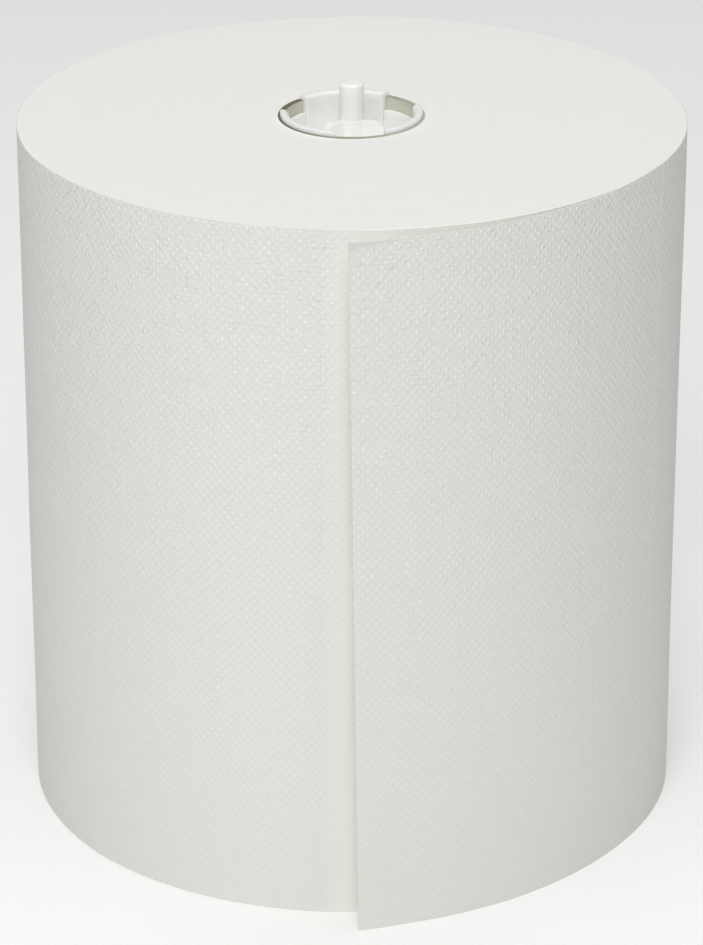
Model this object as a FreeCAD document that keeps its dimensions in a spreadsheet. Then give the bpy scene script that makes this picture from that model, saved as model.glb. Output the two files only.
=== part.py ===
"""Paper towel roll with a cardboard core and a moulded end plug, standing on its end.

The row frame: +Z is the roll's axis, up. The origin is the centre of the core's lower mouth,
on the plane that the roll stands on. The front, where the sheet's free edge is, looks along -Y.
"""

import FreeCAD, Part
import math
import os

import Sketcher

V = FreeCAD.Vector
UP = V(0, 0, 1)

# Driving sizes in millimetres and degrees. Angles are counted from +X, towards +Y.
SIZES = {
    # the wound paper
    "roll_height": 210.0,
    "roll_radius": 97.4,
    # the loose last turn: it leaves the roll tangentially and stands off it at its free edge
    "tail_thickness": 0.5,
    "tail_lift": 9.95,
    "tail_end_angle": -91.5,
    "tail_sweep": 65.0,
    # the sheet's cut edge, seen from the front: where it is at the top, and how far it leans
    "tail_edge_x": -0.8,
    "tail_edge_lean": 2.8,
    # the cardboard core, and the wider seat that takes the plug at its upper end
    "core_outer_radius": 21.4,
    "core_wall": 1.9,
    "plug_seat_step": 0.4,
    "plug_end_gap": 0.5,
    # the plug's cup: a spigot inside the core and a flange on its end
    "plug_clearance": 0.15,
    "spigot_wall": 1.4,
    "spigot_depth": 24.0,
    "spigot_lead": 1.2,
    "flange_seat": 0.85,
    "flange_thickness": 1.45,
    "flange_round": 0.35,
    "rim_chamfer": 0.8,
    "floor_depth": 14.0,
    "floor_thickness": 2.0,
    # the pin, the boss that it stands on, and the webs that carry both
    "pin_radius": 3.6,
    "pin_height": 10.0,
    "pin_chamfer": 0.6,
    "boss_radius": 4.0,
    "web_thickness": 2.2,
    "web_reach": 8.0,
    "web_top_depth": 1.0,
    "web_shoulder_depth": 11.0,
    "web_angle": -22.5,
    # the notches in the flange and the spring fingers below them
    "notch_width": 14.4,
    "notch_depth": 3.7,
    "notch_from_web": -60.0,
    "slit_width": 0.7,
    "slit_depth": 7.5,
}
ARMS = 3

# The core's free bore, and the wider seat above it
CORE_BORE = "Sizes.core_outer_radius - Sizes.core_wall"
PLUG_SEAT = f"{CORE_BORE} + Sizes.plug_seat_step"


def make_sheet(doc):
    """The driving sizes as a sheet with one named cell each."""
    sheet = doc.addObject("Spreadsheet::Sheet", "Sizes")
    for row, (name, value) in enumerate(SIZES.items(), start=1):
        sheet.set(f"A{row}", name)
        sheet.set(f"B{row}", str(value))
        sheet.setAlias(f"B{row}", name)
    doc.recompute()
    return sheet


def new_body(doc, name):
    body = doc.addObject("PartDesign::Body", name)
    body.Label = name
    return body


def origin_feature(body, role):
    return next(f for f in body.Origin.OriginFeatures if f.Role == role)


def new_sketch(body, name, plane):
    """An empty sketch on one of the body's own origin planes."""
    sketch = body.newObject("Sketcher::SketchObject", name)
    sketch.AttachmentSupport = [(origin_feature(body, plane), "")]
    sketch.MapMode = "FlatFace"
    return sketch


def pin_size(sketch, index, name, formula):
    """Name a sketch dimension and drive it from the sheet."""
    sketch.renameConstraint(index, name)
    sketch.setExpression(f"Constraints.{name}", formula)


def add_circle(sketch, radius, name, formula):
    """A circle about the sketch's origin, its radius driven from the sheet."""
    circle = sketch.addGeometry(Part.Circle(V(0, 0, 0), UP, radius), False)
    sketch.addConstraint(Sketcher.Constraint("Coincident", circle, 3, -1, 1))
    pin_size(sketch, sketch.addConstraint(Sketcher.Constraint("Radius", circle, radius)), name, formula)
    return circle


def add_polygon(sketch, corners):
    """A closed polygon whose corners are (x, y, x formula, y formula), every one of them driven.

    A formula of None holds the corner on the axis, where that coordinate is zero.
    """
    count = len(corners)
    first = sketch.GeometryCount
    for i, (x, y, _, _) in enumerate(corners):
        x2, y2 = corners[(i + 1) % count][:2]
        sketch.addGeometry(Part.LineSegment(V(x, y, 0), V(x2, y2, 0)), False)
    for i in range(count):
        sketch.addConstraint(Sketcher.Constraint("Coincident", first + i, 2, first + (i + 1) % count, 1))
    for i, (x, y, fx, fy) in enumerate(corners):
        line = first + i
        if fx is None:
            sketch.addConstraint(Sketcher.Constraint("PointOnObject", line, 1, -2))
        else:
            size = sketch.addConstraint(Sketcher.Constraint("DistanceX", -1, 1, line, 1, x))
            pin_size(sketch, size, f"x{line}", fx)
        if fy is None:
            sketch.addConstraint(Sketcher.Constraint("PointOnObject", line, 1, -1))
        else:
            size = sketch.addConstraint(Sketcher.Constraint("DistanceY", -1, 1, line, 1, y))
            pin_size(sketch, size, f"y{line}", fy)


def new_feature(body, kind, name, sketch, length=None):
    """A pad or pocket of a sketch, its length driven from the sheet."""
    feature = body.newObject(kind, name)
    feature.Profile = sketch
    if length:
        feature.setExpression("Length", length)
    sketch.Visibility = False
    return feature


def polar_copies(body, name, features, count):
    """The features, repeated evenly about the body's own Z axis."""
    pattern = body.newObject("PartDesign::PolarPattern", name)
    pattern.Originals = features
    pattern.Axis = (origin_feature(body, "Z_Axis"), [""])
    pattern.Angle = 360
    pattern.Occurrences = count
    body.Tip = pattern
    return pattern


def ring_edges(shape, radius, height):
    """The names of the circular edges of this radius about the Z axis, at this height."""
    found = []
    for i, edge in enumerate(shape.Edges, start=1):
        curve = edge.Curve
        if not isinstance(curve, Part.Circle):
            continue
        on_axis = math.hypot(curve.Center.x, curve.Center.y) < 1e-4
        if on_axis and abs(curve.Radius - radius) < 1e-4 and abs(curve.Center.z - height) < 1e-4:
            found.append(f"Edge{i}")
    return found


def at_angle(radius, degrees, centre=V(0, 0, 0)):
    turn = math.radians(degrees)
    return centre + V(radius * math.cos(turn), radius * math.sin(turn), 0)


def bearing(point, centre):
    """The angle of a point seen from a centre, in radians."""
    return math.atan2(point.y - centre.y, point.x - centre.x)


def draw_roll_outline(sketch, s):
    """The roll's end profile: the wound circle, and the last turn that leaves it tangentially.

    The tail is the space between two arcs about one centre. The outer arc runs into the wound
    circle at the take-off point. The inner arc meets the circle behind it, where the gap closes.
    """
    radius, thick = s.roll_radius, s.tail_thickness
    far = radius + s.tail_lift
    takeoff_angle = s.tail_end_angle + s.tail_sweep
    shift = (far**2 - radius**2) / (2 * (radius - far * math.cos(math.radians(s.tail_sweep))))
    centre = at_angle(-shift, takeoff_angle)
    tail_radius = radius + shift
    takeoff = at_angle(radius, takeoff_angle)
    end_out = at_angle(far, s.tail_end_angle)
    end_in = end_out + (centre - end_out).normalize() * thick
    # where the inner arc and the wound circle cross, on the tail's side of the take-off point
    inner = tail_radius - thick
    along = (radius**2 + shift**2 - inner**2) / (2 * shift)
    half_angle = math.degrees(math.acos(-along / radius))
    root = at_angle(radius, takeoff_angle - half_angle)

    wound = sketch.addGeometry(
        Part.ArcOfCircle(
            Part.Circle(V(0, 0, 0), UP, radius),
            math.radians(takeoff_angle),
            math.radians(takeoff_angle - half_angle + 360),
        ),
        False,
    )
    under = sketch.addGeometry(
        Part.ArcOfCircle(Part.Circle(centre, UP, inner), bearing(end_in, centre), bearing(root, centre)),
        False,
    )
    edge = sketch.addGeometry(Part.LineSegment(end_in, end_out), False)
    over = sketch.addGeometry(
        Part.ArcOfCircle(Part.Circle(centre, UP, tail_radius), bearing(end_out, centre), bearing(takeoff, centre)),
        False,
    )
    to_takeoff = sketch.addGeometry(Part.LineSegment(V(0, 0, 0), takeoff), True)
    to_end = sketch.addGeometry(Part.LineSegment(V(0, 0, 0), end_out), True)

    sketch.addConstraint(
        [
            Sketcher.Constraint("Coincident", wound, 3, -1, 1),
            Sketcher.Constraint("Coincident", to_takeoff, 1, -1, 1),
            Sketcher.Constraint("Coincident", to_takeoff, 2, wound, 1),
            Sketcher.Constraint("Coincident", to_end, 1, -1, 1),
            Sketcher.Constraint("Coincident", to_end, 2, edge, 2),
            Sketcher.Constraint("Coincident", edge, 2, over, 1),
            Sketcher.Constraint("Coincident", edge, 1, under, 1),
            Sketcher.Constraint("Coincident", under, 3, over, 3),
            Sketcher.Constraint("Coincident", wound, 2, under, 2),
            Sketcher.Constraint("Tangent", wound, 1, over, 2),
            Sketcher.Constraint("PointOnObject", over, 3, edge),
        ]
    )
    sizes = (
        (Sketcher.Constraint("Radius", wound, radius), "wound_radius", "Sizes.roll_radius"),
        (Sketcher.Constraint("Distance", edge, thick), "sheet", "Sizes.tail_thickness"),
        (Sketcher.Constraint("Distance", to_end, far), "reach", "Sizes.roll_radius + Sizes.tail_lift"),
        (
            Sketcher.Constraint("Angle", to_end, math.radians(s.tail_end_angle)),
            "end_bearing",
            "Sizes.tail_end_angle",
        ),
        (
            Sketcher.Constraint("Angle", to_takeoff, math.radians(takeoff_angle)),
            "takeoff_bearing",
            "Sizes.tail_end_angle + Sizes.tail_sweep",
        ),
    )
    for constraint, name, formula in sizes:
        pin_size(sketch, sketch.addConstraint(constraint), name, formula)


def make_paper_roll(doc, s):
    """The wound paper, one solid: the roll with its hole, and the last turn standing off it."""
    body = new_body(doc, "paper_roll")
    outline = new_sketch(body, "RollOutline", "XY_Plane")
    draw_roll_outline(outline, s)
    add_circle(outline, s.core_outer_radius, "hole_radius", "Sizes.core_outer_radius")
    new_feature(body, "PartDesign::Pad", "WoundPaper", outline, "Sizes.roll_height")

    # the sheet's cut edge leans: everything left of this line is trimmed off the tail
    trim = new_sketch(body, "EdgeTrim", "XZ_Plane")
    past = s.tail_lift
    left = s.tail_edge_x - past
    left_formula = "Sizes.tail_edge_x - Sizes.tail_lift"
    slope = s.tail_edge_lean / s.roll_height
    margin = 1.0
    over_x = s.tail_edge_x - margin * slope
    below_x = s.tail_edge_x + s.tail_edge_lean + margin * slope
    over_formula = f"Sizes.tail_edge_x - {margin} * Sizes.tail_edge_lean / Sizes.roll_height"
    below_formula = (
        f"Sizes.tail_edge_x + Sizes.tail_edge_lean + {margin} * Sizes.tail_edge_lean / Sizes.roll_height"
    )
    add_polygon(
        trim,
        [
            (left, -margin, left_formula, f"-{margin}"),
            (below_x, -margin, below_formula, f"-{margin}"),
            (over_x, s.roll_height + margin, over_formula, f"Sizes.roll_height + {margin}"),
            (left, s.roll_height + margin, left_formula, f"Sizes.roll_height + {margin}"),
        ],
    )
    # the sketch stands in front of the tail, and the cut ends in the gap behind it
    trim.AttachmentOffset = FreeCAD.Placement(V(0, 0, s.roll_radius + 2 * s.tail_lift), FreeCAD.Rotation())
    trim.setExpression("AttachmentOffset.Base.z", "Sizes.roll_radius + 2 * Sizes.tail_lift")
    new_feature(body, "PartDesign::Pocket", "CutEdge", trim, "1.5 * Sizes.tail_lift")
    return body


def make_core(doc, s):
    """The cardboard tube that the paper is wound on, widened at its upper end to seat the plug."""
    body = new_body(doc, "cardboard_core")
    ring = new_sketch(body, "CoreRing", "XY_Plane")
    add_circle(ring, s.core_outer_radius, "outer_radius", "Sizes.core_outer_radius")
    bore_radius = s.core_outer_radius - s.core_wall
    add_circle(ring, bore_radius, "bore_radius", CORE_BORE)
    new_feature(body, "PartDesign::Pad", "CoreTube", ring, "Sizes.roll_height")

    seat = new_sketch(body, "SeatCircle", "XY_Plane")
    add_circle(seat, bore_radius + s.plug_seat_step, "seat_radius", PLUG_SEAT)
    seat.AttachmentOffset = FreeCAD.Placement(V(0, 0, s.roll_height), FreeCAD.Rotation())
    seat.setExpression("AttachmentOffset.Base.z", "Sizes.roll_height")
    new_feature(body, "PartDesign::Pocket", "PlugSeat", seat, "Sizes.spigot_depth + Sizes.plug_end_gap")
    return body


def make_plug(doc, s):
    """The moulded plug, drawn with its flange's underside at zero and set on the core's end."""
    body = new_body(doc, "end_plug")
    seat_radius = s.core_outer_radius - s.core_wall + s.plug_seat_step
    outer, outer_f = seat_radius - s.plug_clearance, f"{PLUG_SEAT} - Sizes.plug_clearance"
    inner, inner_f = outer - s.spigot_wall, f"{outer_f} - Sizes.spigot_wall"
    flange, flange_f = seat_radius + s.flange_seat, f"{PLUG_SEAT} + Sizes.flange_seat"
    floor_under = -(s.floor_depth + s.floor_thickness)
    floor_under_f = "-(Sizes.floor_depth + Sizes.floor_thickness)"

    # half the section: floor, spigot, flange, and the boss with the pin that stands on it
    section = new_sketch(body, "PlugSection", "XZ_Plane")
    add_polygon(
        section,
        [
            (0, floor_under, None, floor_under_f),
            (inner, floor_under, inner_f, floor_under_f),
            (inner, -s.spigot_depth, inner_f, "-Sizes.spigot_depth"),
            (outer - s.spigot_lead / 2, -s.spigot_depth, f"{outer_f} - Sizes.spigot_lead / 2", "-Sizes.spigot_depth"),
            (outer, s.spigot_lead - s.spigot_depth, outer_f, "Sizes.spigot_lead - Sizes.spigot_depth"),
            (outer, 0, outer_f, None),
            (flange, 0, flange_f, None),
            (flange, s.flange_thickness, flange_f, "Sizes.flange_thickness"),
            (inner, s.flange_thickness, inner_f, "Sizes.flange_thickness"),
            (inner, -s.floor_depth, inner_f, "-Sizes.floor_depth"),
            (s.boss_radius, -s.floor_depth, "Sizes.boss_radius", "-Sizes.floor_depth"),
            (s.boss_radius, -s.web_top_depth, "Sizes.boss_radius", "-Sizes.web_top_depth"),
            (s.pin_radius, -s.web_top_depth, "Sizes.pin_radius", "-Sizes.web_top_depth"),
            (s.pin_radius, s.pin_height, "Sizes.pin_radius", "Sizes.pin_height"),
            (0, s.pin_height, None, "Sizes.pin_height"),
        ],
    )
    cup = body.newObject("PartDesign::Revolution", "CupAndPin")
    cup.Profile = section
    cup.ReferenceAxis = (section, ["V_Axis"])
    cup.Angle = 360
    section.Visibility = False
    doc.recompute()

    # broken edges: the pin's tip, the flange's outer corner, and the rim's inner corner
    tip = body.newObject("PartDesign::Chamfer", "PinTip")
    tip.Base = (cup, ring_edges(cup.Shape, s.pin_radius, s.pin_height))
    tip.setExpression("Size", "Sizes.pin_chamfer")
    doc.recompute()
    rim = body.newObject("PartDesign::Chamfer", "RimInside")
    rim.Base = (tip, ring_edges(tip.Shape, inner, s.flange_thickness))
    rim.setExpression("Size", "Sizes.rim_chamfer")
    doc.recompute()
    corner = body.newObject("PartDesign::Fillet", "FlangeCorner")
    corner.Base = (rim, ring_edges(rim.Shape, flange, s.flange_thickness))
    corner.setExpression("Radius", "Sizes.flange_round")

    # one web, level over the pin's root and sloping down to the wall, then its copies
    web_side = new_sketch(body, "WebSide", "XZ_Plane")
    root_x, root_f = inner + s.spigot_wall / 2, f"{inner_f} + Sizes.spigot_wall / 2"
    buried = -(s.floor_depth + s.floor_thickness / 2)
    buried_f = "-(Sizes.floor_depth + Sizes.floor_thickness / 2)"
    add_polygon(
        web_side,
        [
            (0, buried, None, buried_f),
            (root_x, buried, root_f, buried_f),
            (root_x, -s.web_shoulder_depth, root_f, "-Sizes.web_shoulder_depth"),
            (s.web_reach, -s.web_top_depth, "Sizes.web_reach", "-Sizes.web_top_depth"),
            (0, -s.web_top_depth, None, "-Sizes.web_top_depth"),
        ],
    )
    web = new_feature(body, "PartDesign::Pad", "Web", web_side, "Sizes.web_thickness")
    web.SideType = "Symmetric"
    polar_copies(body, "Webs", [web], ARMS)

    # a notch with parallel sides through the flange, and a slit along each side of the finger below
    half = s.notch_width / 2
    start = math.sqrt(inner**2 - half**2) - s.spigot_wall
    start_f = f"sqrt(({inner_f})^2 - (Sizes.notch_width / 2)^2) - Sizes.spigot_wall"
    stop, stop_f = flange + s.spigot_wall, f"{flange_f} + Sizes.spigot_wall"
    half_f = "Sizes.notch_width / 2"
    turned = FreeCAD.Placement(V(0, 0, s.flange_thickness), FreeCAD.Rotation(UP, s.notch_from_web))

    def slot(sketch, low, high, low_f, high_f):
        corners = [(start, low, start_f, low_f), (stop, low, stop_f, low_f)]
        corners += [(stop, high, stop_f, high_f), (start, high, start_f, high_f)]
        add_polygon(sketch, corners)

    gap = new_sketch(body, "NotchPlan", "XY_Plane")
    slot(gap, -half, half, f"-{half_f}", half_f)
    slits = new_sketch(body, "SlitPlan", "XY_Plane")
    slot(slits, half - s.slit_width, half, f"{half_f} - Sizes.slit_width", half_f)
    slot(slits, -half, s.slit_width - half, f"-{half_f}", f"Sizes.slit_width - {half_f}")
    for sketch in (gap, slits):
        sketch.AttachmentOffset = turned
        sketch.setExpression("AttachmentOffset.Base.z", "Sizes.flange_thickness")
        sketch.setExpression("AttachmentOffset.Rotation.Yaw", "Sizes.notch_from_web")
    notch = new_feature(
        body, "PartDesign::Pocket", "Notch", gap, "Sizes.flange_thickness + Sizes.notch_depth"
    )
    cut = new_feature(
        body, "PartDesign::Pocket", "FingerSlits", slits, "Sizes.flange_thickness + Sizes.slit_depth"
    )
    polar_copies(body, "Notches", [notch, cut], ARMS)

    body.Placement = FreeCAD.Placement(V(0, 0, s.roll_height), FreeCAD.Rotation(UP, s.web_angle))
    body.setExpression("Placement.Base.z", "Sizes.roll_height")
    body.setExpression("Placement.Rotation.Yaw", "Sizes.web_angle")
    return body


def check(doc, bodies):
    """Stop on any failed feature and on any piece that isn't one sound solid."""
    for item in doc.Objects:
        if "Invalid" in item.State or "Error" in item.State:
            raise RuntimeError(f"{item.Name} failed: {item.State}")
    for body in bodies:
        shape = body.Shape
        if shape.isNull() or not shape.isValid() or len(shape.Solids) != 1:
            raise RuntimeError(f"{body.Label} is not one valid solid")


def main():
    doc = FreeCAD.newDocument("PaperTowelRoll")
    sheet = make_sheet(doc)
    bodies = [make(doc, sheet) for make in (make_paper_roll, make_core, make_plug)]
    doc.recompute()
    check(doc, bodies)
    os.makedirs("parts", exist_ok=True)
    for body in bodies:
        shape = body.Shape
        shape.exportStep(f"parts/{body.Label}.step")
        box = shape.BoundBox
        print(
            f"{body.Label}: {shape.Volume / 1000:.2f} cm3,",
            f"x {box.XMin:.2f} to {box.XMax:.2f},",
            f"y {box.YMin:.2f} to {box.YMax:.2f},",
            f"z {box.ZMin:.2f} to {box.ZMax:.2f}",
        )


main()
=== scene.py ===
# %% [markdown]
# # A paper towel roll, dressed for the camera
# A hard-wound roll for a washroom dispenser stands on its end. Its last turn has come loose at the
# front, and a white plug with a pin sits in the upper end of its cardboard core.
#
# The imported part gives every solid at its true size. This file leaves the plug and the core where
# they are, and lays a paper skin over the plain solid that stands for the wound sheet.

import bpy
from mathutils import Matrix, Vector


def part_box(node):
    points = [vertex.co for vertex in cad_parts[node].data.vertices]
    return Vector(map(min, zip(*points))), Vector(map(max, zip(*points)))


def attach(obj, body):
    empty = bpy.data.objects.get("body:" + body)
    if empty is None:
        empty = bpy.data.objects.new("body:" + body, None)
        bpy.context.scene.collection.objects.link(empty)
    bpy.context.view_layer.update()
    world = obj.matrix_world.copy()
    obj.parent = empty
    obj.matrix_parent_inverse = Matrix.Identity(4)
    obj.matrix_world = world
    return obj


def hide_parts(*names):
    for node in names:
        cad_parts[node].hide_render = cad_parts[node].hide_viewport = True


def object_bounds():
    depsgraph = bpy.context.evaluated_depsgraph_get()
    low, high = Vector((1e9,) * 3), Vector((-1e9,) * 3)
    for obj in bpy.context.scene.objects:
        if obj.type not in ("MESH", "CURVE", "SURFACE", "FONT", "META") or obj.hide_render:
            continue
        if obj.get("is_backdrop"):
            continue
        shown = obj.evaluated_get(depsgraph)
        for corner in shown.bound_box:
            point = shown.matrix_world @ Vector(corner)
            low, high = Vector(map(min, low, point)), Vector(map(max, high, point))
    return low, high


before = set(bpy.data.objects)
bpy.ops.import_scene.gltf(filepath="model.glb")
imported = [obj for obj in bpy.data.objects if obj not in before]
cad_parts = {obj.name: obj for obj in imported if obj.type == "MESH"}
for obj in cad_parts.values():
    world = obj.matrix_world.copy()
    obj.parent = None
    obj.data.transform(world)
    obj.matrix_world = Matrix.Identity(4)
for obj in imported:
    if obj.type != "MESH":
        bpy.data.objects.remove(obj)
cad_box = [list(corner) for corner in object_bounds()]
print("CAD box in metres:", cad_box)

# %% [markdown]
# ## Sizes
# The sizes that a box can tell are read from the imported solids, so the looks follow the part. A box
# can't tell how the loose turn curves, so its law is stated again here, in metres and radians: it
# leaves the roll tangentially, on a circle wider than the roll, and its free edge leans a little.

# %% Read the roll and state the loose turn
import math

import bpy

_, roll_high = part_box("paper_roll")
_, core_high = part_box("cardboard_core")
roll_radius = roll_high[0]
roll_height = roll_high[2]
hole_radius = core_high[0]
print(f"roll: {roll_radius * 2000:.1f} mm wide, {roll_height * 1000:.1f} mm high")

tail_lift = 0.00995
tail_end_angle = math.radians(-91.5)
tail_sweep = math.radians(65)
tail_edge_x = -0.0008
tail_edge_lean = 0.0028
takeoff_angle = tail_end_angle + tail_sweep

# %% [markdown]
# The circle that the loose turn follows has its centre behind the roll's own, on the line through
# the point where the sheet leaves. Two facts fix it: the circle touches the roll there, and passes
# the free edge at the stated distance from the roll.

# %% Find the circle of the loose turn
tail_far = roll_radius + tail_lift
centre_shift = (tail_far**2 - roll_radius**2) / (2 * (roll_radius - tail_far * math.cos(tail_sweep)))
tail_radius = roll_radius + centre_shift
tail_centre = (-centre_shift * math.cos(takeoff_angle), -centre_shift * math.sin(takeoff_angle))


def length_to(x):
    """How much sheet there is between the take-off and the place where the front passes this x."""
    return tail_radius * (takeoff_angle + math.acos((x - tail_centre[0]) / tail_radius))


length_above = length_to(tail_edge_x)
length_below = length_to(tail_edge_x + tail_edge_lean)
print(f"loose turn: {length_above * 1000:.1f} mm long above, {length_below * 1000:.1f} mm below")

# %% [markdown]
# ## Arithmetic in node trees
# The shapes and patterns below follow formulas. Written as separate Math nodes, a formula takes
# many lines and hides what it says. This small class lets Python's own signs add the nodes: a
# number on its way through a tree is wrapped once, and `a * 2 + b` then adds two of them.


# %% A number on its way through a node tree
class Flow:
    """A number in a node tree. Arithmetic on it adds Math nodes."""

    def __init__(self, tree, socket):
        self.tree = tree
        self.socket = socket

    def math(self, operation, *others, clamp=False):
        node = self.tree.nodes.new("ShaderNodeMath")
        node.operation = operation
        node.use_clamp = clamp
        for slot, value in zip(node.inputs, (self, *others)):
            feed(slot, value)
        return Flow(self.tree, node.outputs[0])

    def __add__(self, other):
        return self.math("ADD", other)

    def __sub__(self, other):
        return self.math("SUBTRACT", other)

    def __rsub__(self, other):
        return self.math("MULTIPLY_ADD", -1.0, other)

    def __mul__(self, other):
        return self.math("MULTIPLY", other)

    def __truediv__(self, other):
        return self.math("DIVIDE", other)

    __radd__ = __add__
    __rmul__ = __mul__


def feed(slot, value):
    """Give an input a plain value, or link a flow into it."""
    if isinstance(value, Flow):
        value.tree.links.new(value.socket, slot)
    else:
        slot.default_value = value


# %% [markdown]
# Two more helpers keep the cells short: one adds any other node with its settings and inputs, and
# one passes a geometry down a row of nodes.


# %% Add nodes and chain them
def add_node(tree, kind, settings=None, **inputs):
    """A node with its settings. Its inputs are named with underscores for spaces."""
    node = tree.nodes.new(kind)
    for name, value in (settings or {}).items():
        setattr(node, name, value)
    for name, value in inputs.items():
        feed(node.inputs[name.replace("_", " ")], value)
    return node


def chain(tree, *nodes):
    """Link each node's first output to the next one's first input, and return the last output."""
    for before, after in zip(nodes, nodes[1:]):
        tree.links.new(before.outputs[0], after.inputs[0])
    return nodes[-1].outputs[0]


def split_vector(tree, socket):
    """The three numbers of a vector."""
    node = tree.nodes.new("ShaderNodeSeparateXYZ")
    tree.links.new(socket, node.inputs[0])
    return [Flow(tree, s) for s in node.outputs]


# %% [markdown]
# ## Paper in metres
# Every shape made of the sheet starts as a flat grid and is bent into place. Before it is bent,
# each corner of its faces is given its place on the paper as a UV map, counted in metres from the
# line where the loose turn leaves. The embossing then runs on from the roll to the loose turn at
# its true size, which no unwrapping could promise.


# %% Start a geometry tree and store places on the paper
def start_tree(name, numbers=(), counts=(), materials=()):
    """A geometry tree with named inputs: the tree, its inputs as flows, and its output's slot."""
    tree = bpy.data.node_groups.new(name, "GeometryNodeTree")
    tree.interface.new_socket("Geometry", in_out="OUTPUT", socket_type="NodeSocketGeometry")
    kinds = (("NodeSocketFloat", numbers), ("NodeSocketInt", counts), ("NodeSocketMaterial", materials))
    for kind, labels in kinds:
        for label in labels:
            tree.interface.new_socket(label, in_out="INPUT", socket_type=kind)
    entry = tree.nodes.new("NodeGroupInput")
    inputs = {s.name: Flow(tree, s) for s in entry.outputs if s.name}
    return tree, inputs, tree.nodes.new("NodeGroupOutput").inputs[0]


def store(tree, name, kind, domain, value):
    """A node that keeps a value on the mesh under a name."""
    settings = {"data_type": kind, "domain": domain}
    node = add_node(tree, "GeometryNodeStoreNamedAttribute", settings, Name=name)
    feed(next(s for s in node.inputs if s.name == "Value" and s.enabled), value)
    return node


def grid_of(tree, columns, rows):
    """A flat grid, and how far across and up each point is, from 0 to 1."""
    grid = add_node(
        tree, "GeometryNodeMeshGrid", Size_X=1.0, Size_Y=1.0, Vertices_X=columns, Vertices_Y=rows
    )
    across, up, _ = split_vector(tree, grid.outputs["UV Map"])
    return grid, across, up


# %% [markdown]
# ## How a winding is uneven
# No winding is quite true. A slow noise that depends only on the place in space moves the side of
# this paper in and out by a few tenths of a millimetre. Because it depends on nothing else,
# neighbouring pieces are moved together and never part. On the two ends, single turns lie a little
# deeper than others, but none stands out, so the roll still rests flat on its end.

# %% Build the unevenness
uneven_tree = bpy.data.node_groups.new("Uneven winding", "GeometryNodeTree")
for label, in_out, kind in (
    ("Geometry", "INPUT", "NodeSocketGeometry"),
    ("Waviness", "INPUT", "NodeSocketFloat"),
    ("Turn relief", "INPUT", "NodeSocketFloat"),
    ("Geometry", "OUTPUT", "NodeSocketGeometry"),
):
    uneven_tree.interface.new_socket(label, in_out=in_out, socket_type=kind)
uneven_in = uneven_tree.nodes.new("NodeGroupInput")
uneven_out = uneven_tree.nodes.new("NodeGroupOutput")
position = uneven_tree.nodes.new("GeometryNodeInputPosition")
normal = uneven_tree.nodes.new("GeometryNodeInputNormal")

waves_per_metre = 14.0
rings_per_metre = 420.0
slow = add_node(uneven_tree, "ShaderNodeTexNoise", Scale=waves_per_metre, Detail=1.0)
uneven_tree.links.new(position.outputs[0], slow.inputs["Vector"])
x, y, _ = split_vector(uneven_tree, position.outputs[0])
out_x, out_y, out_z = split_vector(uneven_tree, normal.outputs[0])
ring_place = (x * x + y * y).math("SQRT") * rings_per_metre
turns = add_node(uneven_tree, "ShaderNodeTexNoise", {"noise_dimensions": "1D"}, W=ring_place, Detail=2.0)

waves = (Flow(uneven_tree, slow.outputs[0]) - 0.5) * Flow(uneven_tree, uneven_in.outputs["Waviness"])
depth = Flow(uneven_tree, turns.outputs[0]) * Flow(uneven_tree, uneven_in.outputs["Turn relief"])
push = add_node(
    uneven_tree, "ShaderNodeCombineXYZ", X=out_x * waves, Y=out_y * waves, Z=out_z * depth * -1.0
)
shift = add_node(uneven_tree, "GeometryNodeSetPosition", Offset=Flow(uneven_tree, push.outputs[0]))
uneven_tree.links.new(uneven_in.outputs["Geometry"], shift.inputs["Geometry"])
uneven_tree.links.new(shift.outputs[0], uneven_out.inputs[0])
print("uneven winding:", len(uneven_tree.nodes), "nodes")

# %% [markdown]
# ## One panel of a turned shape
# The wound roll is a turned shape: its outline, drawn as straight runs, goes round the axis. One
# panel is one such run, a grid that is bent round: up the grid is along the run, and across it is
# once round the axis. A spin of a profile would give the same form, but not the spiral. One turn of
# the sheet ends a thickness deeper than it began, and the panel sinks by just that much on its way.
# In its last column, which the loose turn hides, it climbs back, so that the panel closes.

# %% Build the panel
panel, given, panel_out = start_tree(
    "Turned panel",
    numbers=(
        "Start radius",
        "Start height",
        "End radius",
        "End height",
        "Hole radius",
        "Roll radius",
        "First angle",
        "Sheet",
    ),
    counts=("Columns", "Rows"),
)
grid, across, up = grid_of(panel, given["Columns"], given["Rows"])
angle = given["First angle"] + across * (2 * math.pi)
plain_radius = given["Start radius"] + up * (given["End radius"] - given["Start radius"])
height = given["Start height"] + up * (given["End height"] - given["Start height"])
depth_share = (plain_radius - given["Hole radius"]) / (given["Roll radius"] - given["Hole radius"])
sunk = across.math("MINIMUM", (1.0 - across) * given["Columns"])
radius = plain_radius - given["Sheet"] * sunk * depth_share

bent = add_node(
    panel, "ShaderNodeCombineXYZ", X=radius * angle.math("COSINE"), Y=radius * angle.math("SINE"), Z=height
)
on_paper = add_node(
    panel, "ShaderNodeCombineXYZ", X=across * (-2 * math.pi) * given["Roll radius"], Y=height
)
paper_map = store(panel, "UVMap", "FLOAT2", "CORNER", Flow(panel, on_paper.outputs[0]))
bend = add_node(panel, "GeometryNodeSetPosition", Position=Flow(panel, bent.outputs[0]))
panel.links.new(chain(panel, grid, paper_map, bend), panel_out)
print("turned panel:", len(panel.nodes), "nodes")

# %% [markdown]
# ## The wound roll
# The real roll is one long sheet wound tightly on the core, its side embossed all over, and its
# ends nothing but the cut edges of its turns. Six panels close it: two ends, two broken corners,
# the side and the hole.

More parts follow.
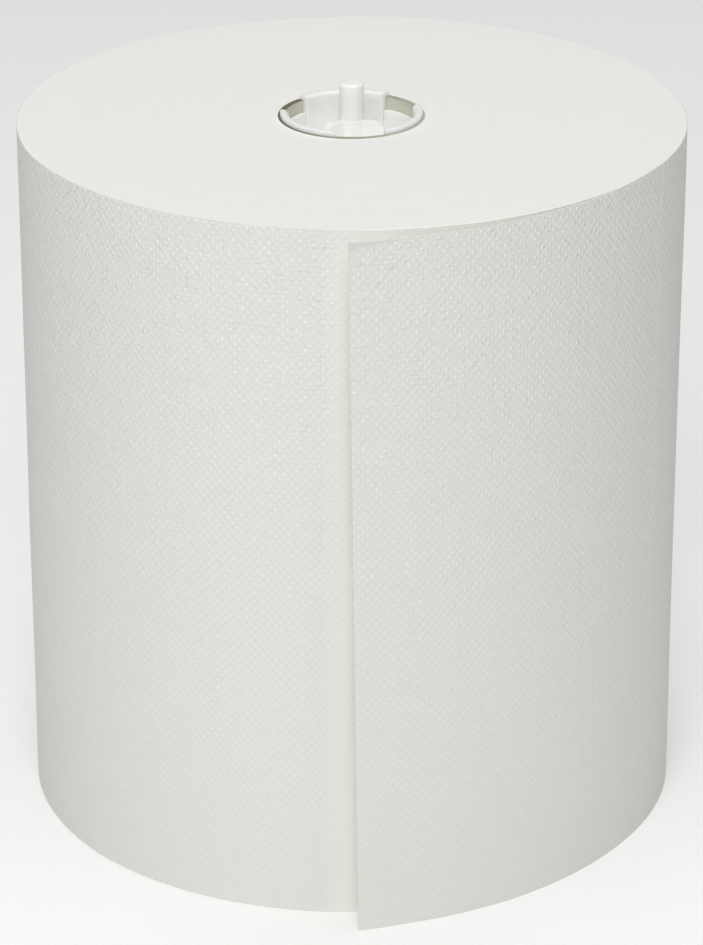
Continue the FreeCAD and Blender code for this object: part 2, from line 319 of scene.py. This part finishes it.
# %% Put the roll's panels together
roll_tree, given, roll_out = start_tree(
    "Wound roll",
    numbers=(
        "Roll radius",
        "Roll height",
        "Hole radius",
        "Broken corner",
        "First angle",
        "Sheet",
        "Waviness",
        "Turn relief",
    ),
    counts=("Columns", "Side rows", "End rows"),
    materials=("Side", "Ends"),
)
outer, tall = given["Roll radius"], given["Roll height"]
hole, corner = given["Hole radius"], given["Broken corner"]
runs = (
    ((hole, 0.0), (outer - corner, 0.0), given["End rows"]),
    ((outer - corner, 0.0), (outer, corner), 2),
    ((outer, corner), (outer, tall - corner), given["Side rows"]),
    ((outer, tall - corner), (outer - corner, tall), 2),
    ((outer - corner, tall), (hole, tall), given["End rows"]),
    ((hole, tall), (hole, 0.0), 2),
)
joined = roll_tree.nodes.new("GeometryNodeJoinGeometry")
for start, end, rows in runs:
    node = add_node(
        roll_tree,
        "GeometryNodeGroup",
        {"node_tree": panel},
        Start_radius=start[0],
        Start_height=start[1],
        End_radius=end[0],
        End_height=end[1],
        Columns=given["Columns"],
        Rows=rows,
    )
    for label in ("Hole radius", "Roll radius", "First angle", "Sheet"):
        feed(node.inputs[label], given[label])
    roll_tree.links.new(node.outputs[0], joined.inputs[0])
print("panels of the roll:", len(runs))

# %% [markdown]
# The panels meet point for point, so a merge with a very short reach closes them.

# %% Close the roll and give it its finishes
merge_reach = 0.00003
least_facing = 0.9
facing_node = roll_tree.nodes.new("GeometryNodeInputNormal")
_, _, facing = split_vector(roll_tree, facing_node.outputs[0])
is_end = facing.math("ABSOLUTE").math("GREATER_THAN", least_facing)
pieces_of_roll = (
    joined,
    add_node(roll_tree, "GeometryNodeMergeByDistance", Distance=merge_reach),
    add_node(
        roll_tree,
        "GeometryNodeGroup",
        {"node_tree": uneven_tree},
        Waviness=given["Waviness"],
        Turn_relief=given["Turn relief"],
    ),
    store(roll_tree, "pressed", "FLOAT", "POINT", 1.0),
    add_node(roll_tree, "GeometryNodeSetShadeSmooth"),
    roll_tree.nodes.new("GeometryNodeRealizeInstances"),
    add_node(roll_tree, "GeometryNodeSetMaterial", Material=given["Side"]),
    add_node(roll_tree, "GeometryNodeSetMaterial", Material=given["Ends"], Selection=is_end),
)
roll_tree.links.new(chain(roll_tree, *pieces_of_roll), roll_out)
print("wound roll:", len(roll_tree.nodes), "nodes")

# %% [markdown]
# ## The loose turn
# The same sheet leaves the roll along its own wider circle and stands off it like an open door. It
# is one grid bent round that circle. Near the free edge the embossing stops short of the two
# corners: each has a plain wedge, which the rollers left flat, and which curls outwards a little.

# %% Bend the loose turn
tail_tree, given, tail_out = start_tree(
    "Loose turn",
    numbers=(
        "Tail radius",
        "Centre X",
        "Centre Y",
        "Take-off angle",
        "Length above",
        "Length below",
        "Sheet height",
        "Wedge above",
        "Wedge below",
        "Wedge length",
        "Curl",
        "Waviness",
    ),
    counts=("Columns", "Rows"),
    materials=("Side",),
)
grid, across, up = grid_of(tail_tree, given["Columns"], given["Rows"])
length = given["Length below"] + up * (given["Length above"] - given["Length below"])
along = across * length
height = up * given["Sheet height"]
to_edge = ((along - length) / given["Wedge length"] + 1.0).math("MAXIMUM", 0.0)
print("flat sheet:", len(tail_tree.nodes), "nodes so far")

# %% [markdown]
# A wedge is the strip between the sheet's upper or lower border and a line that falls away from it
# towards the corner. How deep a point lies inside that strip tells both where the embossing ends
# and how far the curl lifts it.

# %% Find the wedges and curl them
embossing_fade = 0.0004
in_upper = (given["Wedge above"] * to_edge - (given["Sheet height"] - height)).math("MAXIMUM", 0.0)
in_lower = (given["Wedge below"] * to_edge - height).math("MAXIMUM", 0.0)
in_wedge = in_upper + in_lower
pressed = (1.0 - in_wedge / embossing_fade).math("MAXIMUM", 0.0)

bearing = given["Take-off angle"] - along / given["Tail radius"]
reach = given["Tail radius"] + in_wedge * given["Curl"]
bent = add_node(
    tail_tree,
    "ShaderNodeCombineXYZ",
    X=given["Centre X"] + reach * bearing.math("COSINE"),
    Y=given["Centre Y"] + reach * bearing.math("SINE"),
    Z=height,
)
on_paper = add_node(tail_tree, "ShaderNodeCombineXYZ", X=along, Y=height)
pieces_of_tail = (
    grid,
    store(tail_tree, "UVMap", "FLOAT2", "CORNER", Flow(tail_tree, on_paper.outputs[0])),
    store(tail_tree, "pressed", "FLOAT", "POINT", pressed),
    add_node(tail_tree, "GeometryNodeSetPosition", Position=Flow(tail_tree, bent.outputs[0])),
    tail_tree.nodes.new("GeometryNodeFlipFaces"),
    add_node(
        tail_tree,
        "GeometryNodeGroup",
        {"node_tree": uneven_tree},
        Waviness=given["Waviness"],
        Turn_relief=0.0,
    ),
    add_node(tail_tree, "GeometryNodeSetShadeSmooth"),
    tail_tree.nodes.new("GeometryNodeRealizeInstances"),
    add_node(tail_tree, "GeometryNodeSetMaterial", Material=given["Side"]),
)
tail_tree.links.new(chain(tail_tree, *pieces_of_tail), tail_out)
print("loose turn:", len(tail_tree.nodes), "nodes")

# %% [markdown]
# ## Finishes
# A shader group keeps an effect in one place, away from the finish that uses it. The first one is
# the embossing. The rollers press staggered dots, which are the crests where two slanting waves
# meet. Every dot gets its own height by chance, as worn rollers and soft paper give it. A second,
# coarser field lies over the first, and gives the sheet its slow shimmer.


# %% Start a shader group
def start_group(name, inputs, outputs):
    """A shader group: the tree, its inputs as flows, and a way to feed its outputs by name."""
    tree = bpy.data.node_groups.new(name, "ShaderNodeTree")
    for label, kind in inputs:
        tree.interface.new_socket(label, in_out="INPUT", socket_type=kind)
    for label, kind in outputs:
        tree.interface.new_socket(label, in_out="OUTPUT", socket_type=kind)
    entry = tree.nodes.new("NodeGroupInput")
    given = {s.name: Flow(tree, s) for s in entry.outputs if s.name}
    return tree, given, tree.nodes.new("NodeGroupOutput").inputs


NUMBER, VECTOR = "NodeSocketFloat", "NodeSocketVector"

# %% Build the embossing
emboss_tree, given, emboss_out = start_group(
    "Tissue embossing",
    (
        ("Place", VECTOR),
        ("Dot width", NUMBER),
        ("Dot height", NUMBER),
        ("Coarse share", NUMBER),
        ("Pressed", NUMBER),
    ),
    (("Height", NUMBER), ("Painted crest light", NUMBER)),
)
u, v, _ = split_vector(emboss_tree, given["Place"].socket)
turn = 2 * math.pi
least_strength = 0.1
crest_power = 1.6


def by_chance(first, second):
    """A number from 0 to 1 that belongs to one dot, told by its two counts."""
    place = add_node(emboss_tree, "ShaderNodeCombineXYZ", X=first, Y=second)
    chance = add_node(emboss_tree, "ShaderNodeTexWhiteNoise", {"noise_dimensions": "2D"})
    emboss_tree.links.new(place.outputs[0], chance.inputs["Vector"])
    return Flow(emboss_tree, chance.outputs["Value"])


def dots(wide, high):
    """Raised dots at the crossings of two slanting waves, with hollows between them."""
    rise = u / wide + v / high
    fall = u / wide - v / high
    waves = (rise * turn).math("COSINE") + (fall * turn).math("COSINE")
    crest = (waves * 0.5).math("MAXIMUM", 0.0)
    strength = by_chance(rise.math("ROUND"), fall.math("ROUND")) * (1.0 - least_strength) + least_strength
    return crest.math("POWER", crest_power) * strength


coarse_ratio = 1.5
crest_light_gain = 2.2
fine = dots(given["Dot width"], given["Dot height"])
coarse = dots(given["Dot width"] * coarse_ratio, given["Dot height"] * coarse_ratio)
relief = (fine + (coarse - fine) * given["Coarse share"]) * given["Pressed"]
feed(emboss_out["Height"], relief)
# The second output is a mask for painted light: a painted highlight on the tops of the strongest dots, and
# painted shade in the hollows between them.
feed(emboss_out["Painted crest light"], (fine * given["Pressed"]).math("MULTIPLY", crest_light_gain, clamp=True))
print("embossing:", len(emboss_tree.nodes), "nodes")

# %% [markdown]
# Tissue is also a felt of fibres. A fine noise, drawn out along the sheet as its fibres are, serves
# as grain for the side of the roll, its ends and the board of the core. A much coarser one gives
# the flecks of a sheet that is thicker in some places than in others.

# %% Build the fibres
fibre_tree, given, fibre_out = start_group(
    "Paper fibres",
    (("Place", VECTOR), ("Fineness", NUMBER), ("Draw", NUMBER)),
    (("Grain", NUMBER), ("Fleck", NUMBER)),
)
fleck_ratio = 0.12
u, v, w = split_vector(fibre_tree, given["Place"].socket)
drawn = add_node(fibre_tree, "ShaderNodeCombineXYZ", X=u, Y=v * given["Draw"], Z=w)
grain = add_node(fibre_tree, "ShaderNodeTexNoise", Scale=given["Fineness"], Detail=3.0, Roughness=0.6)
fleck = add_node(fibre_tree, "ShaderNodeTexNoise", Scale=given["Fineness"] * fleck_ratio, Detail=2.0)
for node in (grain, fleck):
    fibre_tree.links.new(drawn.outputs[0], node.inputs["Vector"])
feed(fibre_out["Grain"], Flow(fibre_tree, grain.outputs[0]))
feed(fibre_out["Fleck"], Flow(fibre_tree, fleck.outputs[0]))
print("fibres:", len(fibre_tree.nodes), "nodes")


# %% [markdown]
# Each finish then needs the same few nodes: a Principled shader whose colour runs between two
# tones, a roughness between two limits, and a bump. One function places them. The tissue alone
# also has painted light and shade, which make its colour darker or brighter from place to place.


# %% Start a finish
def start_finish(name, specular):
    """A material with its tree and its Principled shader."""
    material = bpy.data.materials.new(name)
    material.use_nodes = True
    tree = material.node_tree
    shader = tree.nodes["Principled BSDF"]
    shader.inputs["Specular IOR Level"].default_value = specular
    return material, tree, shader


def paint(tree, shader, mask, tones, roughness, bump, bump_metres, painted_light_and_shade=None):
    """Colour and roughness that follow a mask, and a bump that follows a height."""
    ramp = add_node(tree, "ShaderNodeMix", {"data_type": "RGBA"})
    feed(ramp.inputs["Factor"], mask)
    for slot, tone in zip([s for s in ramp.inputs if s.type == "RGBA"], tones):
        slot.default_value = (*tone, 1)
    colour = next(s for s in ramp.outputs if s.type == "RGBA")
    # Painted light and shade: a scale that makes the colour brighter or darker from place to place.
    if painted_light_and_shade is not None:
        painted_shading_node = add_node(tree, "ShaderNodeVectorMath", {"operation": "SCALE"}, Scale=painted_light_and_shade)
        tree.links.new(colour, painted_shading_node.inputs[0])
        colour = painted_shading_node.outputs[0]
    tree.links.new(colour, shader.inputs["Base Color"])
    feed(shader.inputs["Roughness"], mask * (roughness[1] - roughness[0]) + roughness[0])
    relief = add_node(tree, "ShaderNodeBump", Strength=1.0, Distance=bump_metres, Height=bump)
    tree.links.new(relief.outputs[0], shader.inputs["Normal"])


# %% [markdown]
# The same tissue looks different on the roll and off it. Wound up, it is a thick white stack. The
# loose turn is a single ply, and its colour is painted a little darker towards its free edge, as
# painted shade for the light that goes through it. The paper beside and under that edge is painted
# brighter, as painted light in the gap that the loose turn shades. As the UV map counts metres of
# sheet from the take-off, this one finish can tell the three apart. The same map tells how high a
# place is: the rollers pressed the sheet's upper border the hardest, and the dots fade towards the
# lower one. Beside and under the free edge they are nearly ironed out. The plain corner above has no
# dots, and its colour is painted a little darker, as painted shade where it curls out and faces down.

# %% Find the places on the tissue
tissue, tree, shader = start_finish("embossed_tissue", specular=0.2)
edge_strip_width = 0.007
gap_width = 0.01
least_pressure = 0.2
pressure_rise = 0.85
ironed_out = 0.7
place = Flow(tree, add_node(tree, "ShaderNodeTexCoord").outputs["UV"])
metres_off, metres_up, _ = split_vector(tree, place.socket)
single_ply = (metres_off / length_below).math("MAXIMUM", 0.0)
turn_length = 2 * math.pi * roll_radius
past_edge = length_below - turn_length - metres_off
near_edge = (past_edge / edge_strip_width + 1.0).math("MULTIPLY", 1.0, clamp=True)
under_it = (past_edge / gap_width).math("MULTIPLY", 1.0, clamp=True)
share_up = metres_up / roll_height
pressure = (share_up * pressure_rise + least_pressure) * (1.0 - near_edge * ironed_out)
pressed_node = add_node(tree, "ShaderNodeAttribute", {"attribute_name": "pressed"})
pressed_here = Flow(tree, pressed_node.outputs["Fac"])
plain_corner = (1.0 - pressed_here) * share_up
print(f"one turn of sheet: {turn_length * 1000:.0f} mm")

# %% Make the embossed tissue
# Painted light and shade on the tissue: brighter beside and under the free edge, darker on the loose ply
# and on its upper plain corner.
painted_ply_shade = 0.03
painted_corner_shade = 0.08
painted_edge_light = 0.09
painted_gap_light = 0.13
painted_light = near_edge * painted_edge_light + under_it * painted_gap_light
painted_shade = plain_corner * painted_corner_shade + single_ply * painted_ply_shade
emboss = add_node(
    tree,
    "ShaderNodeGroup",
    {"node_tree": emboss_tree},
    Place=place,
    Dot_width=0.0025,
    Dot_height=0.00275,
    Coarse_share=0.2,
    Pressed=pressed_here,
)
fibres = add_node(
    tree, "ShaderNodeGroup", {"node_tree": fibre_tree}, Place=place, Fineness=320.0, Draw=2.8
)
painted_crest_light, grain, fleck = (
    Flow(tree, s) for s in (emboss.outputs["Painted crest light"], fibres.outputs["Grain"], fibres.outputs["Fleck"])
)
# The colour runs from a painted-shade tone between the dots to a painted highlight on their crests, with
# flecks where the sheet is thicker.
paint(
    tree,
    shader,
    mask=(painted_crest_light * pressure * 0.95 + fleck * 0.15).math("MULTIPLY", 1.0, clamp=True),
    tones=((0.775, 0.775, 0.735), (0.91, 0.91, 0.88)),
    painted_light_and_shade=1.0 + painted_light - painted_shade,
    roughness=(0.95, 0.75),
    bump=(Flow(tree, emboss.outputs["Height"]) + grain * pressed_here * 1.3) * pressure,
    bump_metres=0.00038,
)
print(tissue.name, len(tree.nodes), "nodes")

# %% [markdown]
# The ends show hundreds of cut edges, each less than a fifth of a millimetre thick, pressed together
# into a nearly even face. Their pattern depends on the distance from the axis, and only slowly on
# the direction. Two noises at two ring widths stand for a few turns and for broad bands of them.

# %% Make the cut turns
cut_turns, tree, shader = start_finish("cut_turns", specular=0.15)
here = add_node(tree, "ShaderNodeTexCoord").outputs["Object"]
x, y, _ = split_vector(tree, here)
from_axis = (x * x + y * y).math("SQRT")
ring_scale = 900.0
change_round = 1.3
ring_place = add_node(
    tree,
    "ShaderNodeCombineXYZ",
    X=from_axis * ring_scale,
    Y=x / from_axis * change_round,
    Z=y / from_axis * change_round,
)
rings = {}
for label, scale in (("turn", 2.0), ("band", 0.22)):
    noise = add_node(tree, "ShaderNodeTexNoise", Scale=scale, Detail=2.0)
    tree.links.new(ring_place.outputs[0], noise.inputs["Vector"])
    rings[label] = Flow(tree, noise.outputs[0])
fibres = add_node(
    tree, "ShaderNodeGroup", {"node_tree": fibre_tree}, Place=Flow(tree, here), Fineness=2600.0, Draw=1.0
)
paint(
    tree,
    shader,
    mask=(rings["turn"] * 0.5 + rings["band"] * 0.5).math("MULTIPLY", 1.0, clamp=True),
    tones=((0.87, 0.875, 0.84), (0.83, 0.84, 0.80)),
    roughness=(0.88, 0.96),
    bump=rings["turn"] + Flow(tree, fibres.outputs["Grain"]) * 0.4,
    bump_metres=0.00006,
)
print(cut_turns.name, len(tree.nodes), "nodes")

# %% [markdown]
# The core is a tube of board, wound in a spiral from strips, so a seam climbs its inside. Its cut
# ends are rough and darker than its skin, partly in the board's own colour and partly as painted
# shade of the gap under the plug's rim; the painted shade is deeper on the left and towards the back.

# %% Make the wound board
board, tree, shader = start_finish("wound_board", specular=0.25)
here = add_node(tree, "ShaderNodeTexCoord").outputs["Object"]
x, y, z = split_vector(tree, here)
strip_rise = 0.09
seam_share = 0.006
end_depth = 0.0002
# Painted shade on the cut ends: darker on the left and towards the back, on top of the board's own darker
# tone.
end_board_and_gap_shade = 0.6
painted_shade_across = 0.4
round_about = y.math("ARCTAN2", x) / (2 * math.pi)
strip = (round_about + z / strip_rise).math("FRACT")
seam = (strip - 0.5).math("ABSOLUTE").math("LESS_THAN", seam_share)
at_end = (z - roll_height / 2).math("ABSOLUTE").math("GREATER_THAN", roll_height / 2 - end_depth)
end_board_and_painted_shade = end_board_and_gap_shade - (x - y * 0.25) / hole_radius * painted_shade_across
fibres = add_node(
    tree, "ShaderNodeGroup", {"node_tree": fibre_tree}, Place=Flow(tree, here), Fineness=900.0, Draw=1.0
)
grain = Flow(tree, fibres.outputs["Grain"])
paint(
    tree,
    shader,
    mask=(at_end * end_board_and_painted_shade + seam * 0.2 + grain * 0.15).math("MULTIPLY", 1.0, clamp=True),
    tones=((0.62, 0.62, 0.54), (0.17, 0.15, 0.09)),
    roughness=(0.75, 0.95),
    bump=grain + seam * -0.8,
    bump_metres=0.00012,
)
print(board.name, len(tree.nodes), "nodes")

# %% [markdown]
# The plug is one moulding in white plastic. Moulded white plastic looks clean because light goes a
# little way into it, and its skin carries a very fine grain from the mould.

# %% Make the moulded plastic
plastic, tree, shader = start_finish("moulded_plastic", specular=0.35)
shader.inputs["Subsurface Weight"].default_value = 0.6
shader.inputs["Subsurface Radius"].default_value = (1.0, 1.0, 1.0)
shader.inputs["Subsurface Scale"].default_value = 0.004
here = add_node(tree, "ShaderNodeTexCoord").outputs["Object"]
cloud = add_node(tree, "ShaderNodeTexNoise", Scale=90.0, Detail=3.0)
grain = add_node(tree, "ShaderNodeTexNoise", Scale=2400.0, Detail=2.0)
for node in (cloud, grain):
    tree.links.new(here, node.inputs["Vector"])
paint(
    tree,
    shader,
    mask=Flow(tree, cloud.outputs[0]),
    tones=((0.97, 0.975, 0.955), (0.945, 0.95, 0.93)),
    roughness=(0.32, 0.45),
    bump=Flow(tree, grain.outputs[0]),
    bump_metres=0.000012,
)
print(plastic.name, len(tree.nodes), "nodes")


# %% [markdown]
# ## From trees to plain pieces
# A tree is carried by a modifier on an object of no shape of its own. Its inputs are set by the
# identifiers of the tree's sockets, the result is copied into a plain mesh, and the object that
# carried it goes, so nothing live is left for the frame to trip over. The copy starts with one empty
# material slot, which is taken out, and its true corners are marked as sharp.


# %% Turn a tree into a piece
def grow(name, tree, values):
    """The mesh that a geometry tree makes with these values, as a plain object at the origin."""
    carrier = bpy.data.objects.new(name + "_carrier", bpy.data.meshes.new(name + "_carrier"))
    bpy.context.scene.collection.objects.link(carrier)
    modifier = carrier.modifiers.new("grow", "NODES")
    modifier.node_group = tree
    for socket in tree.interface.items_tree:
        if socket.in_out == "INPUT":
            modifier[socket.identifier] = values[socket.name]
    shown = carrier.evaluated_get(bpy.context.evaluated_depsgraph_get())
    mesh = bpy.data.meshes.new_from_object(shown)
    mesh.name = name
    mesh.materials.pop(index=0)
    mesh.set_sharp_from_angle(angle=math.radians(30))
    bpy.data.objects.remove(carrier)
    piece = bpy.data.objects.new(name, mesh)
    bpy.context.scene.collection.objects.link(piece)
    print(name, len(mesh.vertices), "points,", len(mesh.polygons), "faces")
    return piece


# %% Make the wound roll
sheet_thickness = 0.0004
waviness = 0.0006
wound_roll = grow(
    "wound_roll",
    roll_tree,
    {
        "Roll radius": roll_radius,
        "Roll height": roll_height,
        "Hole radius": hole_radius,
        "Broken corner": 0.00018,
        "First angle": takeoff_angle,
        "Sheet": sheet_thickness,
        "Waviness": waviness,
        "Turn relief": 0.00025,
        "Columns": 289,
        "Side rows": 49,
        "End rows": 73,
        "Side": tissue,
        "Ends": cut_turns,
    },
)

# %% Make the loose turn
loose_turn = grow(
    "loose_turn",
    tail_tree,
    {
        "Tail radius": tail_radius,
        "Centre X": tail_centre[0],
        "Centre Y": tail_centre[1],
        "Take-off angle": takeoff_angle,
        "Length above": length_above,
        "Length below": length_below,
        "Sheet height": roll_height,
        "Wedge above": 0.0028,
        "Wedge below": 0.0033,
        "Wedge length": 0.0155,
        "Curl": 0.3,
        "Waviness": waviness,
        "Columns": 181,
        "Rows": 201,
        "Side": tissue,
    },
)

# %% [markdown]
# The grid has no thickness yet. Solidify gives it one, inwards, so the outer face stays on the
# circle and runs on from the roll's side without a step.

# %% Give the loose turn its thickness
solidify = loose_turn.modifiers.new("sheet", "SOLIDIFY")
solidify.thickness = sheet_thickness
solidify.offset = -1
thick_turn = loose_turn.evaluated_get(bpy.context.evaluated_depsgraph_get())
thick_mesh = bpy.data.meshes.new_from_object(thick_turn)
loose_turn.modifiers.clear()
loose_turn.data = thick_mesh
thick_mesh.set_sharp_from_angle(angle=math.radians(30))
print("loose turn:", len(thick_mesh.polygons), "faces")

# %% [markdown]
# ## Attach the pieces
# Both paper pieces stand for the one solid of the wound sheet. The core and the plug keep their
# imported shapes and only change their finish.

# %% Ride, replace and repaint
for piece in (wound_roll, loose_turn):
    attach(piece, "root")
    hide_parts("paper_roll")

for node, finish in (("cardboard_core", board), ("end_plug", plastic)):
    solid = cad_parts[node]
    solid.data.materials.clear()
    solid.data.materials.append(finish)
print("shown:", [p.name for p in (wound_roll, loose_turn)], "and two packed solids")

# %% [markdown]
# ## The studio
# The photograph is a product shot: a white room, a large soft light in front and above, a little to
# the left, a smaller one nearer to the roll, and one overhead. No lamp stands at the sides,
# which draws the roll's outline. The floor is a plain table that is lit from below a little, as
# tables for such pictures are. White things pass light to and fro many times, so it is followed
# through more bounces than usual.

# %% Lay the floor
floor_reach = 6.0
floor_mesh = bpy.data.meshes.new("floor")
corners = [(x * floor_reach, y * floor_reach, 0) for x, y in ((-1, -1), (1, -1), (1, 1), (-1, 1))]
floor_mesh.from_pydata(corners, [], [(0, 1, 2, 3)])
floor = bpy.data.objects.new("floor", floor_mesh)
bpy.context.scene.collection.objects.link(floor)
pale = bpy.data.materials.new("pale_floor")
pale.use_nodes = True
pale_shader = pale.node_tree.nodes["Principled BSDF"]
pale_shader.inputs["Base Color"].default_value = (0.96, 0.96, 0.96, 1)
pale_shader.inputs["Roughness"].default_value = 0.9
pale_shader.inputs["Emission Color"].default_value = (1, 1, 1, 1)
pale_shader.inputs["Emission Strength"].default_value = 0.08
floor_mesh.materials.append(pale)
floor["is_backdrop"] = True
print("floor:", 2 * floor_reach, "m wide")


# %% Hang the lights
def soft_light(name, place, aim, size, watts):
    """A square soft light that looks at a point."""
    lamp = bpy.data.lights.new(name, "AREA")
    lamp.size = size
    lamp.energy = watts
    holder = bpy.data.objects.new(name, lamp)
    holder.location = place
    direction = [a - p for a, p in zip(aim, place)]
    turn_x = math.atan2(math.hypot(direction[0], direction[1]), -direction[2])
    holder.rotation_euler = (turn_x, 0, math.atan2(direction[1], direction[0]) - math.pi / 2)
    bpy.context.scene.collection.objects.link(holder)
    return holder


middle = (0, 0, roll_height / 2)
lamps = (
    soft_light("front_light", (-0.35, -1.9, 1.5), middle, size=1.4, watts=17.5),
    soft_light("high_light", (0, -1.3, 1.6), middle, size=0.8, watts=7.8),
    soft_light("top_light", (0, 0.2, 2.2), middle, size=1.6, watts=19.5),
)
print("lamps:", [lamp.name for lamp in lamps])

# %% Light the room and set how far light is followed
world = bpy.data.worlds.new("white_room")
world.use_nodes = True
world.node_tree.nodes["Background"].inputs["Color"].default_value = (1, 1, 1, 1)
world.node_tree.nodes["Background"].inputs["Strength"].default_value = 0.23
bpy.context.scene.world = world
bpy.context.scene.view_settings.view_transform = "Standard"
bpy.context.scene.cycles.diffuse_bounces = 12
bpy.context.scene.cycles.max_bounces = 16
print("diffuse bounces:", bpy.context.scene.cycles.diffuse_bounces)

# %% [markdown]
# The camera stands where the photograph's did: 1.14 m in front of the roll's axis and 0.59 m above
# the floor, looking down by 23.4 degrees through a long lens.

# %% Set the camera
camera_back = 1.1359
camera_above_roll = 0.3792
camera_tilt = math.radians(66.56)
camera_data = bpy.data.cameras.new("camera")
camera_data.sensor_width = 36
camera_data.lens = 156.4
camera = bpy.data.objects.new("camera", camera_data)
camera.location = (0, -camera_back, roll_height + camera_above_roll)
camera.rotation_euler = (camera_tilt, 0, 0)
bpy.context.scene.collection.objects.link(camera)
bpy.context.scene.camera = camera
print(f"camera: {camera_back:.2f} m back, {camera.location.z:.2f} m up, {camera_data.lens:.0f} mm lens")

# %% [markdown]
# ## Compare the size
# The box of what is shown is kept beside the box of the solids, to show how much the looks add to
# the object's size.

shown_box = [list(corner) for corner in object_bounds()]
growth = [[round((s - c) * 1000, 2) for s, c in zip(*pair)] for pair in zip(shown_box, cad_box)]
print("shown box less CAD box, in mm:", growth)
